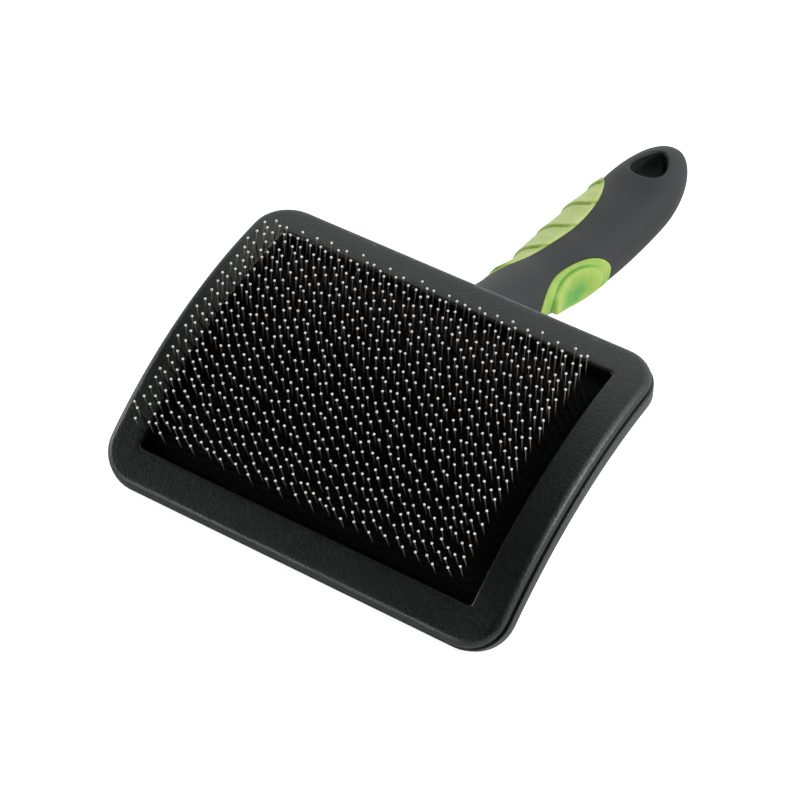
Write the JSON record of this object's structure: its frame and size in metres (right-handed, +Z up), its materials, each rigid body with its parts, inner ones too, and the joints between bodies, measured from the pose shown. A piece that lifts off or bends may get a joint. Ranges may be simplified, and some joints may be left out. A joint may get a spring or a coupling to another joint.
{
  "type": "slicker brush",
  "caption": "Pet grooming slicker brush: a curved head with a framed pad of bent wire pins on a long soft handle with two grip inserts and a hang hole.",
  "frame": {"origin": "middle of the brush's footprint, on the surface that it lies on", "axes": "+Y from the head to the handle's end, +X to the right of the head with the handle pointing away, +Z up, which is the bristle side as the brush rests on its back"},
  "size_m": [0.1252, 0.2058, 0.0543],
  "materials": {
    "abs_black": "fine moulded grain",
    "grip_grey": "soft-touch satin",
    "grip_lime": "soft-touch satin",
    "pad_fabric": "rubberised cloth",
    "foam": "open-cell foam",
    "pin_steel": "drawn wire with pale ball tips"
  },
  "bodies": {
    "brush_body": {"back_shell": "abs_black", "rim_frame": "abs_black", "handle_grip": "grip_grey", "finger_grip": "grip_lime", "thumb_rest": "grip_lime", "foam_cushion": "foam"},
    "sprung_pad": {"foundation_pad": "pad_fabric", "staple_column_01": "pin_steel", "staple_column_02": "pin_steel", "staple_column_03": "pin_steel", "staple_column_04": "pin_steel", "staple_column_05": "pin_steel", "staple_column_06": "pin_steel", "staple_column_07": "pin_steel", "staple_column_08": "pin_steel", "staple_column_09": "pin_steel", "staple_column_10": "pin_steel", "staple_column_11": "pin_steel", "staple_column_12": "pin_steel", "staple_column_13": "pin_steel", "staple_column_14": "pin_steel", "staple_column_15": "pin_steel", "staple_column_16": "pin_steel", "staple_column_17": "pin_steel", "staple_column_18": "pin_steel", "staple_column_19": "pin_steel", "staple_column_20": "pin_steel", "staple_column_21": "pin_steel", "staple_column_22": "pin_steel", "staple_column_23": "pin_steel", "staple_column_24": "pin_steel", "staple_column_25": "pin_steel", "staple_column_26": "pin_steel", "staple_column_27": "pin_steel", "staple_column_28": "pin_steel", "staple_column_29": "pin_steel", "staple_column_30": "pin_steel", "staple_column_31": "pin_steel", "staple_column_32": "pin_steel", "staple_column_33": "pin_steel", "staple_column_34": "pin_steel", "staple_column_35": "pin_steel", "staple_column_36": "pin_steel", "staple_column_37": "pin_steel", "staple_column_38": "pin_steel", "staple_column_39": "pin_steel", "staple_column_40": "pin_steel", "staple_column_41": "pin_steel", "staple_column_42": "pin_steel", "staple_column_43": "pin_steel", "staple_column_44": "pin_steel"}
  },
  "joints": [
    {"name": "pad_press", "type": "slide", "parent": "brush_body", "child": "sprung_pad", "axis": [0, -0.4147, 0.91], "range_m": [-0.0015, 0], "stiffness_N_per_m": 5000, "springref_m": 0.0003, "deforming": ["foam_cushion"]}
  ]
}
